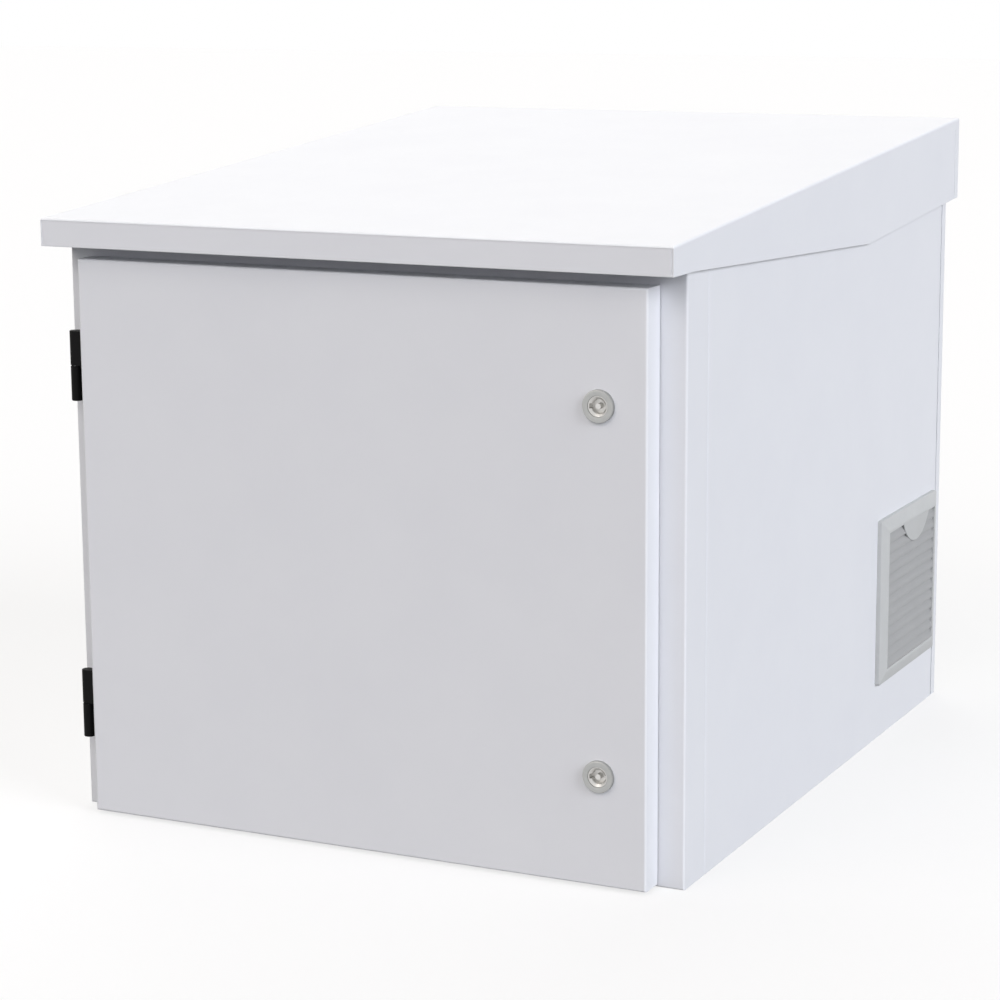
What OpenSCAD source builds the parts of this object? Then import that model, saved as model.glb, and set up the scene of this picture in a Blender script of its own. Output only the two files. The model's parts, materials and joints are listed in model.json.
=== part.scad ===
// Roadside utility cabinet: a folded steel body with an overlay door, a sloping rain hood,
// nineteen-inch rack rails inside and a louvred filter unit in each side.
// The front looks along -Y, X runs to the right, and the body rests on z = 0.
// Places in depth are measured from the face of the front frame (see at_face).

/* [Body] */
// Width across the side panels
body_w = 600; // [570:5:680]
// Depth from the face of the front frame to the rear face
body_d = 705; // [640:5:800]
// Height of the welded body under the hood
body_h = 540; // [500:5:600]
// Thickness of the steel sheet
sheet = 1.5; // [1.2:0.1:2]
// Outside radius of the folds of frame, door, hood and rear panel
fold_r = 2.4; // [2:0.1:5]
// Outside radius of the folds of the side panels
panel_r = 4; // [2.4:0.1:5]
// Width of the inward flanges
flange = 15; // [12:1:18]
// Depth of the front frame behind its face
frame_d = 45; // [36:1:55]
// Depth of the rear panel's wrapped edge
rear_wrap = 13; // [10:1:18]

/* [Door] */
// Strip of frame left bare beside the door
frame_strip = 24; // [22:0.5:30]
// Height of the door's lower edge above the ground
door_z = 3; // [1:0.5:6]
// Drop of the door's upper edge below the top of the body
door_drop = 25; // [20:1:32]
// Depth of the door tray
door_d = 25.7; // [22:0.1:30]
// Gap between the door's edge and the frame
door_gap = 0.8; // [0.6:0.1:3]
// Overlap of the door past the opening at the sides
door_lap = 24; // [20:0.5:26]
// Overlap of the door past the opening at top and bottom
door_lap_v = 24; // [20:0.5:28]
// Width of the hem round the back of the door
door_hem = 12; // [8:0.5:13]
// Height of the rain rim round the opening
rim_h = 14; // [11:0.5:17]
// Width of the foam gasket
gasket_w = 12; // [8:0.5:13]
// Gap left between the gasket and the rain rim
gasket_gap = 0.4; // [0.3:0.1:1]

/* [Hinges] */
// Distance between the middles of the two hinges
hinge_spacing = 315; // [250:5:380]
// Height of one hinge
hinge_h = 64; // [50:1:80]
// Distance of the hinge axis from the door's side
hinge_gap = 13; // [12:0.5:16]
// Radius of the hinge knuckle
knuckle_r = 5.2; // [4.8:0.1:7]
// Radius of the hinge pin
pin_r = 3; // [2:0.1:4]

/* [Locks] */
// Distance between the two locks
lock_spacing = 316; // [250:5:380]
// Drop of the locks below the middle of the door
lock_drop = 1; // [0:0.5:10]
// Distance of the lock's axis from the edge of the opening
lock_inset = 19; // [19:0.5:26]
// Radius of the lock's head
lock_r = 14; // [13:0.5:16]
// Height of the lock's head above the door
lock_head = 4; // [3:0.5:8]
// Radius of the turning spindle
spindle_r = 8.8; // [8.5:0.1:9]
// Length of the cam from the lock's axis
cam_l = 44; // [38:1:50]

/* [Hood] */
// Overhang of the hood in front of the frame
hood_front = 40; // [34:1:50]
// Overhang of the hood behind the rear panel
hood_rear = 25; // [15:1:35]
// Overhang of the hood beyond each side panel
hood_side = 4; // [3.5:0.1:8]
// Height of the hood's front edge above the body
hood_rise = 11.5; // [9:0.5:16]
// Height that the hood gains from front to rear
hood_fall = 55.5; // [30:0.5:80]
// Height of the hood's front lip
lip_h = 25; // [20:0.5:30]
// Width of the hem under the front lip
lip_hem = 10; // [6:0.5:14]
// Height of the hood's skirt from the kink to the rear
skirt_h = 82; // [70:1:95]
// Distance from the hood's front edge to the kink in its skirt
skirt_kink = 488; // [420:2:540]
// Length of level skirt edge behind the lip
skirt_level = 44; // [30:1:60]

/* [Rack] */
// Height of one rack unit
unit_h = 44.45; // [44.45]
// Distance between the rows of holes of a nineteen-inch rack
rack_w = 465.1; // [465.1]
// Least distance from a row of rack holes to the outside of the body
rack_side_w = 67.4; // [60:0.1:80]
// Distance of the front rails behind the frame's face
rail_setback = 75; // [60:1:100]
// Distance of the rear rails from the rear face
rail_rear = 233; // [220:1:280]

/* [Filters] */
// Width of the louvred cover along the side panel
cover_w = 178; // [168:1:190]
// Height of the louvred cover
cover_h = 168; // [166:1:190]
// Side of the square cut-out in the side panel
cutout_w = 152; // [140:1:156]
// Height of the filter's middle above the ground
filter_z = 140.5; // [130:0.5:200]
// Distance of the filter's middle from the rear face
filter_rear = 114.5; // [110:0.5:130]
// Number of louvres
louvres = 13; // [9:1:15]

/* [Hidden] */

// Colours as the photograph shows them
paint = "#E2E4E9";
zinc = "#B4B7BA";
black = "#1B1B1C";
lock_grey = "#B0B1AE";
plastic = "#C6C8C8";
foam = "#3A3B3D";
fleece = "#E9E8E2";

// Steps along a quarter turn of a fold, sides of a round and overrun of the cuts
fold_steps = 6;
$fn = 64;
overrun = 1;

// Frame, door and opening
door_w = body_w - 2 * frame_strip;
door_h = body_h - door_z - door_drop;
door_mid = door_z + door_h / 2;
opening_w = door_w - 2 * door_lap;
opening_h = door_h - 2 * door_lap_v;
opening_z = door_z + door_lap_v;
door_face = -door_gap - door_d;
hood_d = hood_front + body_d + hood_rear;
face_y = hood_front - hood_d / 2;
rear_seam = body_d - rear_wrap;

// Hinges and locks
hinge_x = -door_w / 2 - hinge_gap;
hinge_y = -door_gap - door_d / 2;
hinge_split = 0.5;
hinge_cap = 2;
pin_end_gap = 0.4;
hinge_zs = [door_mid - hinge_spacing / 2, door_mid + hinge_spacing / 2];
run_gap = 0.05;
screw_r = 2.5;
screw_head_r = 4.5;
screw_head = 3;
screw_hole = 0.3;
hinge_screw_shares = [0.14, 0.36];
lock_x = opening_w / 2 - lock_inset;
lock_mid = door_mid - lock_drop;
lock_zs = [lock_mid - lock_spacing / 2, lock_mid + lock_spacing / 2];
lock_edge = 1.2;
lock_body_r = 10.8;
lock_body_l = door_d - sheet;
lock_nut = 6;
lock_nut_flat = 26;
lock_fit = 0.2;
cam_t = 3;
cam_w = 16;
cam_clear = 1;
cam_y = sheet + cam_clear;
cam_square = 8;
cam_bolt_l = 12;
dish_r = 8.2;
dish_d = 2;
key_recess = 7;
key_r = 6.2;
key_pin_r = 2.5;
key_slot_w = 4;
key_slot_r = 7.6;

// Hood
slope = atan2(hood_fall, hood_d);
hood_w = body_w + 2 * hood_side;
hood_top = body_h + hood_rise;
skin = sheet / cos(slope);
seat_gap = 0.02;
seat = skin + seat_gap;
seam_w = 1.2;
seam_d = 0.6;
seam_in = 2.4;
flange_seam_in = 11;
bearer_foot = 30;
bearer_l = body_w - 4 * flange;
bearer_ys = [frame_d + flange, rear_seam - 5 * flange];
bolt_r = 3;
bolt_flat = 10;
bolt_head = 4;
bolt_x = bearer_l / 2 - 2 * flange;

// Rack
rack_units = floor(opening_h / unit_h);
row_w = min(rack_w, body_w - 2 * rack_side_w);
rail_t = 2;
rail_face = 25;
rail_leg = 35;
rail_edge_w = 7.55;
rail_end = 5;
rack_hole_w = 9.5;
rack_hole_shares = [1 / 7, 1 / 2, 6 / 7];
rail_h = rack_units * unit_h + 2 * rail_end;
rail_z = opening_z + (opening_h - rail_h) / 2;
rail_x = row_w / 2 - rail_edge_w;
channel_x = rail_x + rail_face;
channel_h = 40;
channel_inset = 24;
channel_margin = 10;
rail_rear_y = body_d - rail_rear;
channel_zs = [rail_z + channel_inset, rail_z + rail_h - channel_inset - channel_h];
rail_bolt_in = 20;

// Cable entry, earth stud and fixings to a plinth or a wall bracket
gland_w = 330;
gland_d = 100;
gland_border = 15;
gland_t = 2;
gasket_t = 3;
gland_y = body_d - filter_rear;
gland_screw_in = 7.5;
grommet_pitch = 72;
grommet_count = 4;
grommet_r = 16;
grommet_lip = 4;
grommet_lip_t = 2.5;
grommet_skin = 1;
stud_r = 4;
stud_l = 28;
stud_side_w = 60;
stud_x = body_w / 2 - stud_side_w;
stud_flat = 13;
stud_nut = 6.5;
plinth_x = 400;
plinth_y = 500;
plinth_hole_r = 6;
wall_x = 480;
wall_z = 420;
wall_hole_r = 5.5;

// Filter units
filter_y = body_d - filter_rear;
cover_edge = 4.5;
cover_t = 8;
cover_wall = 2;
cover_bevel = 12;
cover_land = 3.5;
louvre_w = cover_w - 2 * cover_bevel - 2 * cover_land;
louvre_border = 14.5;
louvre_h = cover_h - 2 * louvre_border;
louvre_pitch = louvre_h / louvres;
blade_t = 1.4;
blade_face = 6;
blade_lean = 1;
blade_root = 1;
blade_sink = 0.4;
blade_in = 4.2;
rim_in = 3.5;
rim_t = 1.1;
crest_sag = 23;
crest_share = 0.56;
crest_shift = 13;
crest_w = louvre_w * crest_share;
crest_sink = 0.3;
crest_r = (crest_w * crest_w / 4 + crest_sag * crest_sag) / (2 * crest_sag);
cassette_fit = 1;
cassette_d = 26;
cassette_wall = 2.5;
cassette_lip = 5;
cassette_lip_t = 2.5;
grid_bars = 5;
mat_t = 14;
mat_fit = 0.5;

// Unit vector, and the points of an outline with each corner rounded by its own radius
function unit(v) = v / norm(v);
function corner(a, p, b, r) =
    r == 0 ? [p] :
    let (u = unit(a - p), w = unit(b - p), half = acos(u * w) / 2)
    let (c = p + unit(u + w) * r / sin(half), s = p + u * r / tan(half) - c)
    let (e = p + w * r / tan(half) - c, from = atan2(s[1], s[0]))
    let (turn = sign(s[0] * e[1] - s[1] * e[0]) * (180 - 2 * half))
    [for (i = [0 : fold_steps]) let (g = from + turn * i / fold_steps) c + r * [cos(g), sin(g)]];
function outline(pts, radii) =
    let (n = len(pts))
    [for (i = [0 : n - 1]) each corner(pts[(i + n - 1) % n], pts[i], pts[(i + 1) % n], radii[i])];
function tray_profile(w, d, r) =
    outline([[-w / 2, 0], [w / 2, 0], [w / 2, d], [-w / 2, d]], [r, r, 0, 0]);
function bevel_profile(w, edge, t, bevel) =
    [[0, -w / 2], [0, w / 2], [edge, w / 2], [t, w / 2 - bevel], [t, bevel - w / 2], [edge, -w / 2]];
function hood_z(y) = hood_top + (y + hood_front) * tan(slope);

// Depth counted from the face of the front frame
module at_face() {
    translate([0, face_y, 0]) children();
}

// Outline in depth and height, drawn out along X about the middle
module across(w) {
    translate([-w / 2, 0, 0]) rotate([90, 0, 90]) linear_extrude(w) children();
}

// Round rod along +Y
module rod_y(r, l) {
    rotate([-90, 0, 0]) cylinder(r = r, h = l);
}

// Six-sided rod along +Y, with two flats upright
module hex_y(flat, l) {
    rotate([-90, 90, 0]) cylinder(r = flat / sqrt(3), h = l, $fn = 6);
}

// Solid with the outside form of a folded tray, face on y = 0
module tray(w, h, d, r) {
    intersection() {
        linear_extrude(h) polygon(tray_profile(w, d, r));
        translate([0, 0, h / 2]) across(w) polygon([for (p = tray_profile(h, d, r)) [p[1], p[0]]]);
    }
}

// Folded tray of sheet, open at the back
module sheet_tray(w, h, d, r) {
    difference() {
        tray(w, h, d, r);
        translate([0, sheet, sheet]) tray(w - 2 * sheet, h - 2 * sheet, d, r - sheet);
    }
}

// Upright rectangular ring, d deep along +Y
module ring(w, h, border, d) {
    difference() {
        translate([-w / 2, 0, 0]) cube([w, d, h]);
        translate([border - w / 2, -overrun, border])
            cube([w - 2 * border, d + 2 * overrun, h - 2 * border]);
    }
}

// Places of the hinges' screws on one leaf, counted from the leaf's lower end
module hinge_screw_places(from) {
    for (z = hinge_zs, s = hinge_screw_shares) translate([0, 0, z - hinge_h / 2 + from + s * hinge_h])
        children();
}

// Screw along +Y: shank from the origin, head behind it
module pan_screw(l) {
    rod_y(screw_r, l);
    translate([0, -screw_head, 0]) rod_y(screw_head_r, screw_head);
}

module front_frame() {
    color(paint) at_face() difference() {
        union() {
            sheet_tray(body_w, body_h, frame_d, fold_r);
            translate([0, frame_d - sheet, 0]) ring(body_w, body_h, flange, sheet);
            translate([0, -rim_h, opening_z - sheet])
                ring(opening_w + 2 * sheet, opening_h + 2 * sheet, sheet, rim_h + sheet);
        }
        translate([-opening_w / 2, -rim_h - overrun, opening_z])
            cube([opening_w, rim_h + sheet + 2 * overrun, opening_h]);
        translate([hinge_x, -overrun, 0]) hinge_screw_places(0)
            rod_y(screw_r + screw_hole, sheet + 2 * overrun);
    }
}

// Side panel folded inward at the front and the rear, with the filter's cut-out
module side_panel() {
    outer = body_w / 2;
    inner = outer - flange;
    difference() {
        linear_extrude(body_h) difference() {
            polygon(outline([[inner, frame_d], [outer, frame_d], [outer, rear_seam], [inner, rear_seam]],
                [0, panel_r, panel_r, 0]));
            polygon(outline([[inner - overrun, frame_d + sheet], [outer - sheet, frame_d + sheet],
                [outer - sheet, rear_seam - sheet], [inner - overrun, rear_seam - sheet]],
                [0, panel_r - sheet, panel_r - sheet, 0]));
        }
        for (z = [-overrun, body_h - sheet])
            translate([inner - overrun, frame_d - overrun, z])
                cube([flange + overrun - sheet, rear_seam - frame_d + 2 * overrun, sheet + overrun]);
        translate([outer - sheet - overrun, filter_y - cutout_w / 2, filter_z - cutout_w / 2])
            cube([sheet + 2 * overrun, cutout_w, cutout_w]);
    }
}

module right_side_panel() {
    color(paint) at_face() side_panel();
}

module left_side_panel() {
    color(paint) at_face() mirror([1, 0, 0]) side_panel();
}

module rear_panel() {
    color(paint) at_face() difference() {
        translate([0, body_d, 0]) rotate([0, 0, 180]) sheet_tray(body_w, body_h, rear_wrap, fold_r);
        for (x = [-wall_x, wall_x] / 2, z = [-wall_z, wall_z] / 2)
            translate([x, body_d - sheet - overrun, body_h / 2 + z])
                rod_y(wall_hole_r, sheet + 2 * overrun);
    }
}

// Level plate between the side panels, its edges folded to one side
module deck() {
    w = body_w - 2 * sheet;
    translate([-w / 2, frame_d, 0]) cube([w, rear_seam - frame_d, sheet]);
    for (x = [-w / 2, w / 2 - sheet])
        translate([x, frame_d + panel_r, 0]) cube([sheet, rear_seam - frame_d - 2 * panel_r, flange]);
}

module base_panel() {
    color(paint) at_face() difference() {
        deck();
        translate([gland_border - gland_w / 2, gland_y + gland_border - gland_d / 2, -overrun])
            cube([gland_w - 2 * gland_border, gland_d - 2 * gland_border, sheet + 2 * overrun]);
        gland_screw_places() cylinder(r = screw_r + screw_hole, h = sheet + 2 * overrun, center = true);
        for (x = [-plinth_x, plinth_x] / 2, y = [-plinth_y, plinth_y] / 2)
            translate([x, body_d / 2 + y, -overrun]) cylinder(r = plinth_hole_r, h = sheet + 2 * overrun);
        translate([stud_x, gland_y, -overrun]) cylinder(r = stud_r, h = sheet + 2 * overrun);
    }
}

module top_panel() {
    color(paint) at_face() difference() {
        translate([0, 0, body_h]) mirror([0, 0, 1]) deck();
        roof_bolt_places() cylinder(r = bolt_r + screw_hole, h = 2 * sheet + overrun, center = true);
    }
}

// Outside form of the hood, grown inward by t: sloping top, front lip and kinked skirts
module hood_form(t, low) {
    front = -hood_front + t;
    rear = body_d + hood_rear - t;
    top = t / cos(slope);
    kink = skirt_kink - hood_front;
    r = fold_r - t;
    intersection() {
        across(hood_w - 2 * t) polygon(outline(
            [[front, hood_top - lip_h - low], [front, hood_z(front) - top], [rear, hood_z(rear) - top],
             [rear, hood_z(rear) - skirt_h - low], [kink, hood_z(kink) - skirt_h - low],
             [skirt_level - hood_front, hood_top - lip_h - low]],
            [0, r, r, 0, 0, 0]));
        translate([0, front, hood_z(front) - top]) rotate([slope, 0, 0])
            translate([0, 2 * hood_d, 0]) rotate([90, 0, 0]) linear_extrude(3 * hood_d)
                polygon(outline([[t - hood_w / 2, -body_h], [hood_w / 2 - t, -body_h],
                    [hood_w / 2 - t, 0], [t - hood_w / 2, 0]], [0, 0, r, r]));
    }
}

// Lines where the hood's skirt meets its lip in front and its flange at the rear
module hood_seams() {
    rear = body_d + hood_rear - flange_seam_in;
    translate([hood_w / 2 - seam_in, -hood_front - overrun, hood_top - lip_h - overrun])
        cube([seam_w, seam_d + overrun, lip_h - fold_r + overrun]);
    translate([hood_w / 2 - seam_d, rear - seam_w, hood_z(rear) - skirt_h - overrun])
        cube([seam_d + overrun, seam_w, skirt_h - flange_seam_in + overrun]);
}

module roof_hood() {
    color(paint) at_face() {
        difference() {
            hood_form(0, 0);
            hood_form(sheet, skirt_h);
            for (side = [0, 1]) mirror([side, 0, 0])
                hood_seams();
        }
        translate([-hood_w / 2, -hood_front, hood_top - lip_h]) cube([hood_w, lip_hem, sheet]);
    }
}

// Z-shaped bearer between the top panel and the sloping hood
module roof_bearer(y) {
    web = y + bearer_foot;
    end = web + bearer_foot;
    difference() {
        across(bearer_l) polygon([[y, body_h], [web, body_h], [web, hood_z(web) - skin - seat],
            [end, hood_z(end) - skin - seat], [end, hood_z(end) - seat],
            [web - sheet, hood_z(web - sheet) - seat], [web - sheet, body_h + sheet], [y, body_h + sheet]]);
        roof_bolt_places() cylinder(r = bolt_r + screw_hole, h = 4 * sheet, center = true);
    }
}

module roof_bolt_places() {
    for (x = [-bolt_x, bolt_x], y = bearer_ys) translate([x, y + bearer_foot / 2, body_h]) children();
}

module front_roof_bearer() {
    color(zinc) at_face() roof_bearer(bearer_ys[0]);
}

module rear_roof_bearer() {
    color(zinc) at_face() roof_bearer(bearer_ys[1]);
}

module roof_bolts() {
    color(zinc) at_face() roof_bolt_places() translate([0, 0, -sheet]) {
        translate([0, 0, -bolt_head]) cylinder(r = bolt_flat / sqrt(3), h = bolt_head, $fn = 6);
        cylinder(r = bolt_r, h = 2 * sheet + bolt_head + overrun);
    }
}

module roof_nuts() {
    color(zinc) at_face() roof_bolt_places() translate([0, 0, sheet]) difference() {
        cylinder(r = bolt_flat / sqrt(3), h = bolt_head, $fn = 6);
        translate([0, 0, -overrun]) cylinder(r = bolt_r + run_gap, h = bolt_head + 2 * overrun);
    }
}

module gland_screw_places() {
    for (x = [-1, 0, 1], y = [-1, 1])
        translate([x * (gland_w / 2 - gland_screw_in), gland_y + y * (gland_d / 2 - gland_screw_in), 0])
            children();
}

module grommet_places() {
    for (i = [0 : grommet_count - 1])
        translate([(i - (grommet_count - 1) / 2) * grommet_pitch, gland_y, 0]) children();
}

module gland_gasket() {
    color(foam) at_face() translate([0, 0, sheet]) difference() {
        translate([-gland_w / 2, gland_y - gland_d / 2, 0]) cube([gland_w, gland_d, gasket_t]);
        translate([gland_border - gland_w / 2, gland_y + gland_border - gland_d / 2, -overrun])
            cube([gland_w - 2 * gland_border, gland_d - 2 * gland_border, gasket_t + 2 * overrun]);
        gland_screw_places() cylinder(r = screw_r + screw_hole, h = 3 * gasket_t, center = true);
    }
}

module gland_plate() {
    color(zinc) at_face() translate([0, 0, sheet + gasket_t]) difference() {
        translate([-gland_w / 2, gland_y - gland_d / 2, 0]) cube([gland_w, gland_d, gland_t]);
        gland_screw_places() cylinder(r = screw_r + screw_hole, h = 3 * gland_t, center = true);
        grommet_places() cylinder(r = grommet_r, h = 3 * gland_t, center = true);
    }
}

module gland_screws() {
    color(zinc) at_face() gland_screw_places() {
        cylinder(r = screw_r, h = sheet + gasket_t + gland_t);
        translate([0, 0, sheet + gasket_t + gland_t]) cylinder(r = screw_head_r, h = screw_head);
    }
}

// Rubber grommet with a closed skin, seated in the gland plate
module cable_grommets() {
    lip = grommet_r + grommet_lip;
    neck = grommet_r - grommet_lip;
    rise = gland_t + grommet_lip_t;
    color(black) at_face() grommet_places() translate([0, 0, sheet + gasket_t]) rotate_extrude()
        polygon([[0, 0], [neck, 0], [neck, -grommet_lip_t], [lip, -grommet_lip_t], [lip, 0],
            [grommet_r, 0], [grommet_r, gland_t], [lip, gland_t], [grommet_r, rise], [neck, rise],
            [neck, grommet_skin], [0, grommet_skin]]);
}

module earth_stud() {
    color(zinc) at_face() translate([stud_x, gland_y, 0]) cylinder(r = stud_r, h = stud_l);
}

module earth_nuts() {
    color(zinc) at_face() for (z = [sheet, sheet + 1.5 * stud_nut])
        translate([stud_x, gland_y, z]) difference() {
            cylinder(r = stud_flat / sqrt(3), h = stud_nut, $fn = 6);
            translate([0, 0, -overrun]) cylinder(r = stud_r + run_gap, h = stud_nut + 2 * overrun);
        }
}

// Depth channel welded to the right side panel, its web facing the rails
module depth_channel(z) {
    y0 = rail_setback - channel_margin;
    l = rail_rear_y - rail_setback + 2 * channel_margin;
    w = body_w / 2 - sheet - channel_x;
    difference() {
        translate([channel_x, y0, z]) cube([w, l, channel_h]);
        translate([channel_x + sheet, y0 - overrun, z + sheet])
            cube([w, l + 2 * overrun, channel_h - 2 * sheet]);
        rail_bolt_holes();
    }
}

module rail_bolt_places() {
    for (y = [rail_setback + rail_bolt_in, rail_rear_y - rail_bolt_in], z = channel_zs)
        translate([channel_x, y, z + channel_h / 2]) rotate([0, 0, -90]) children();
}

module rail_bolt_holes() {
    rail_bolt_places() translate([0, -rail_t - overrun, 0])
        rod_y(bolt_r + screw_hole, rail_t + sheet + 2 * overrun);
}

// Angle rail with the rack's square holes, its face on y = 0 and its leg behind it
module rack_rail() {
    difference() {
        translate([rail_x, 0, rail_z]) cube([rail_face, rail_leg, rail_h]);
        translate([rail_x - overrun, rail_t, rail_z - overrun])
            cube([rail_face - rail_t + overrun, rail_leg, rail_h + 2 * overrun]);
        for (u = [0 : rack_units - 1], s = rack_hole_shares)
            translate([row_w / 2 - rack_hole_w / 2, -overrun,
                rail_z + rail_end + (u + s) * unit_h - rack_hole_w / 2])
                cube([rack_hole_w, rail_t + 2 * overrun, rack_hole_w]);
    }
}

module front_rail() {
    difference() {
        translate([0, rail_setback, 0]) rack_rail();
        rail_bolt_holes();
    }
}

module rear_rail() {
    difference() {
        translate([0, rail_rear_y, 0]) mirror([0, 1, 0]) rack_rail();
        rail_bolt_holes();
    }
}

module right_front_rail() {
    color(zinc) at_face() front_rail();
}

module left_front_rail() {
    color(zinc) at_face() mirror([1, 0, 0]) front_rail();
}

module right_rear_rail() {
    color(zinc) at_face() rear_rail();
}

module left_rear_rail() {
    color(zinc) at_face() mirror([1, 0, 0]) rear_rail();
}

module right_lower_bearer() {
    color(zinc) at_face() depth_channel(channel_zs[0]);
}

module right_upper_bearer() {
    color(zinc) at_face() depth_channel(channel_zs[1]);
}

module left_lower_bearer() {
    color(zinc) at_face() mirror([1, 0, 0]) depth_channel(channel_zs[0]);
}

module left_upper_bearer() {
    color(zinc) at_face() mirror([1, 0, 0]) depth_channel(channel_zs[1]);
}

module rail_bolts() {
    color(zinc) at_face() for (side = [0, 1]) mirror([side, 0, 0]) rail_bolt_places() {
        translate([0, -rail_t - bolt_head, 0]) hex_y(bolt_flat, bolt_head);
        translate([0, -rail_t, 0]) rod_y(bolt_r, rail_t + sheet + bolt_head + overrun);
    }
}

module rail_nuts() {
    color(zinc) at_face() for (side = [0, 1]) mirror([side, 0, 0]) rail_bolt_places()
        translate([0, sheet, 0]) difference() {
            hex_y(bolt_flat, bolt_head);
            translate([0, -overrun, 0]) rod_y(bolt_r + run_gap, bolt_head + 2 * overrun);
        }
}

// Hinge leaf: a knuckle about the origin with a block that reaches l along +Y, bored from z up
module hinge_leaf(l, bore_r, z) {
    r = knuckle_r;
    h = hinge_h / 2 - hinge_split / 2;
    difference() {
        linear_extrude(h) polygon(concat([[r, l], [-r, l]],
            [for (i = [0 : 2 * fold_steps]) let (g = 180 + 90 * i / fold_steps) r * [cos(g), sin(g)]]));
        translate([0, 0, z]) cylinder(r = bore_r, h = h - hinge_cap + overrun);
    }
}

module hinge_frame_leaf(z) {
    color(black) at_face() difference() {
        translate([hinge_x, hinge_y, z - hinge_h / 2]) hinge_leaf(-hinge_y, pin_r, hinge_cap);
        translate([hinge_x, 0, 0]) hinge_screw_places(0) mirror([0, 1, 0])
            translate([0, -overrun, 0]) rod_y(screw_r, -hinge_y - pin_r * 2 + overrun);
    }
}

module hinge_door_leaf(z) {
    color(black) at_face() difference() {
        translate([hinge_x, hinge_y, z + hinge_split / 2]) rotate([0, 0, -90])
            hinge_leaf(hinge_gap, pin_r + run_gap, -overrun);
        door_screw_places() translate([0, -overrun, 0]) rod_y(screw_r, hinge_gap - 2 * pin_r + overrun);
    }
}

// Places on the door's left side, pointing out at the hinge leaves
module door_screw_places() {
    translate([-door_w / 2, hinge_y, 0]) hinge_screw_places(hinge_h / 2) rotate([0, 0, 90]) children();
}

module hinge_pin(z) {
    color(zinc) at_face() translate([hinge_x, hinge_y, z - hinge_h / 2 + hinge_cap])
        cylinder(r = pin_r, h = hinge_h - 2 * hinge_cap - pin_end_gap);
}

module hinge_frame_screws() {
    color(zinc) at_face() translate([hinge_x, sheet, 0]) hinge_screw_places(0) mirror([0, 1, 0])
        pan_screw(sheet - hinge_y - 2 * pin_r);
}

module hinge_door_screws() {
    color(zinc) at_face() door_screw_places() translate([0, -sheet, 0])
        pan_screw(sheet + hinge_gap - 2 * pin_r);
}

module upper_hinge_frame_leaf() {
    hinge_frame_leaf(hinge_zs[1]);
}

module lower_hinge_frame_leaf() {
    hinge_frame_leaf(hinge_zs[0]);
}

module upper_hinge_door_leaf() {
    hinge_door_leaf(hinge_zs[1]);
}

module lower_hinge_door_leaf() {
    hinge_door_leaf(hinge_zs[0]);
}

module upper_hinge_pin() {
    hinge_pin(hinge_zs[1]);
}

module lower_hinge_pin() {
    hinge_pin(hinge_zs[0]);
}

module door_panel() {
    color(paint) at_face() difference() {
        union() {
            translate([0, door_face, door_z]) sheet_tray(door_w, door_h, door_d, fold_r);
            translate([0, -door_gap - sheet, door_z]) ring(door_w, door_h, door_hem, sheet);
        }
        for (z = lock_zs) translate([lock_x, door_face - overrun, z])
            rod_y(lock_body_r + lock_fit, sheet + 2 * overrun);
        door_screw_places() translate([0, -sheet - overrun, 0])
            rod_y(screw_r + screw_hole, sheet + 2 * overrun);
    }
}

module door_gasket() {
    mid = gasket_w / 2 - sheet / 2;
    color(foam) at_face() translate([0, door_face + sheet, opening_z - sheet - mid])
        ring(opening_w + 2 * sheet + 2 * mid, opening_h + 2 * sheet + 2 * mid, gasket_w,
            -rim_h - gasket_gap - door_face - sheet);
}

// Lock housing: a flat head with a bevelled edge on the door and a threaded barrel through it
module lock_housing(z) {
    bore = spindle_r + run_gap;
    color(lock_grey) at_face() translate([lock_x, door_face, z]) rotate([-90, 0, 0]) rotate_extrude()
        polygon([[bore, -lock_head], [lock_r - lock_edge, -lock_head], [lock_r, lock_edge - lock_head],
            [lock_r, 0], [lock_body_r, 0], [lock_body_r, lock_body_l], [bore, lock_body_l]]);
}

// Turning spindle with a dished recess for a double-bit key in front and a square for the cam behind
module lock_spindle(z) {
    front = door_face - lock_head * 5 / 6;
    color(lock_grey) at_face() translate([lock_x, 0, z]) {
        difference() {
            translate([0, front, 0]) rod_y(spindle_r, cam_y - front);
            translate([0, front, 0]) rotate([-90, 0, 0]) key_dish();
            translate([0, front, 0]) rod_y(key_r, key_recess);
            translate([-key_slot_r, front, -key_slot_w / 2])
                cube([2 * key_slot_r, key_recess, key_slot_w]);
            cam_bolt_hole();
        }
        translate([0, front + dish_d / 2, 0]) rod_y(key_pin_r, key_recess - dish_d / 2 + overrun);
        difference() {
            translate([-cam_square / 2, cam_y - overrun, -cam_square / 2])
                cube([cam_square, cam_t + overrun, cam_square]);
            cam_bolt_hole();
        }
    }
}

// Conical dish that leads the key in, opening past the spindle's front face
module key_dish() {
    steep = (dish_r - key_r) / dish_d;
    translate([0, 0, -overrun])
        cylinder(r1 = dish_r + overrun * steep, r2 = key_r, h = dish_d + overrun);
}

// Threaded hole in the end of the spindle
module cam_bolt_hole() {
    translate([0, cam_y + cam_t - cam_bolt_l - overrun, 0])
        rod_y(bolt_r + run_gap, cam_bolt_l + 2 * overrun);
}

module lock_cam(z) {
    color(zinc) at_face() translate([lock_x, cam_y, z]) rotate([90, 0, 0]) mirror([0, 0, 1])
        linear_extrude(cam_t) difference() {
            polygon(outline([[-cam_w / 2, -cam_l], [cam_w / 2, -cam_l],
                [cam_w / 2, cam_w * 2 / 3], [-cam_w / 2, cam_w * 2 / 3]],
                [cam_w, cam_w, cam_w, cam_w] / 3));
            square(cam_square, center = true);
        }
}

module cam_bolt(z) {
    color(zinc) at_face() translate([lock_x, cam_y + cam_t, z]) {
        hex_y(bolt_flat, bolt_head);
        translate([0, -cam_bolt_l, 0]) rod_y(bolt_r, cam_bolt_l + overrun);
    }
}

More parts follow.
